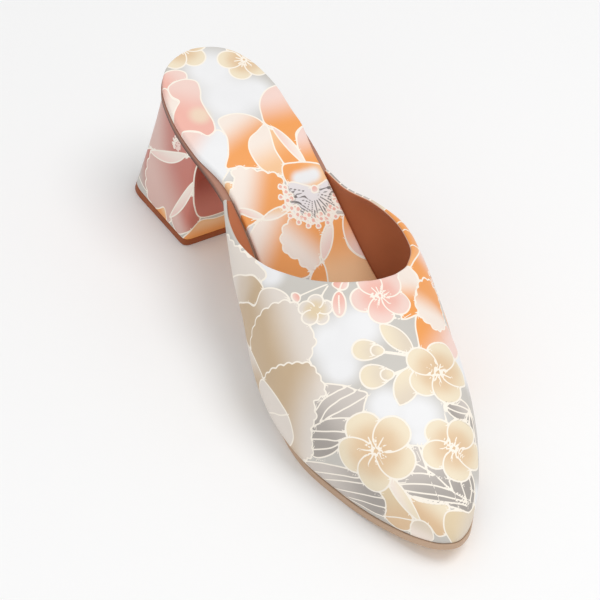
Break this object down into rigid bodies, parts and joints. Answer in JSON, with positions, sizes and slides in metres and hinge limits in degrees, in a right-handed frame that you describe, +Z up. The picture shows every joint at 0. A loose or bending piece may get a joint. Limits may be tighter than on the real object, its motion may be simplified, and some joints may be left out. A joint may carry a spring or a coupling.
{
  "type": "block heel mule",
  "caption": "Slip-on backless shoe for the left foot with a closed pointed toe, low-cut printed vamp, printed footbed and a flared print-covered block heel",
  "frame": {"origin": "Centre of the bounding box in plan, on the floor the shoe stands on", "axes": "+X from heel to toe, +Y to the wearer's left, the outer side of this foot, +Z up"},
  "size_m": [0.2504, 0.0876, 0.0692],
  "materials": {
    "outsole": "satin tan moulded sheet",
    "insole": "smooth floral print",
    "upper": "smooth floral print",
    "heel_cover": "smooth floral print",
    "top_lift": "satin orange-brown"
  },
  "bodies": {
    "root": {"outsole": "outsole", "insole": "insole", "upper": "upper", "heel_block": "heel_cover", "top_lift": "top_lift"}
  },
  "joints": []
}
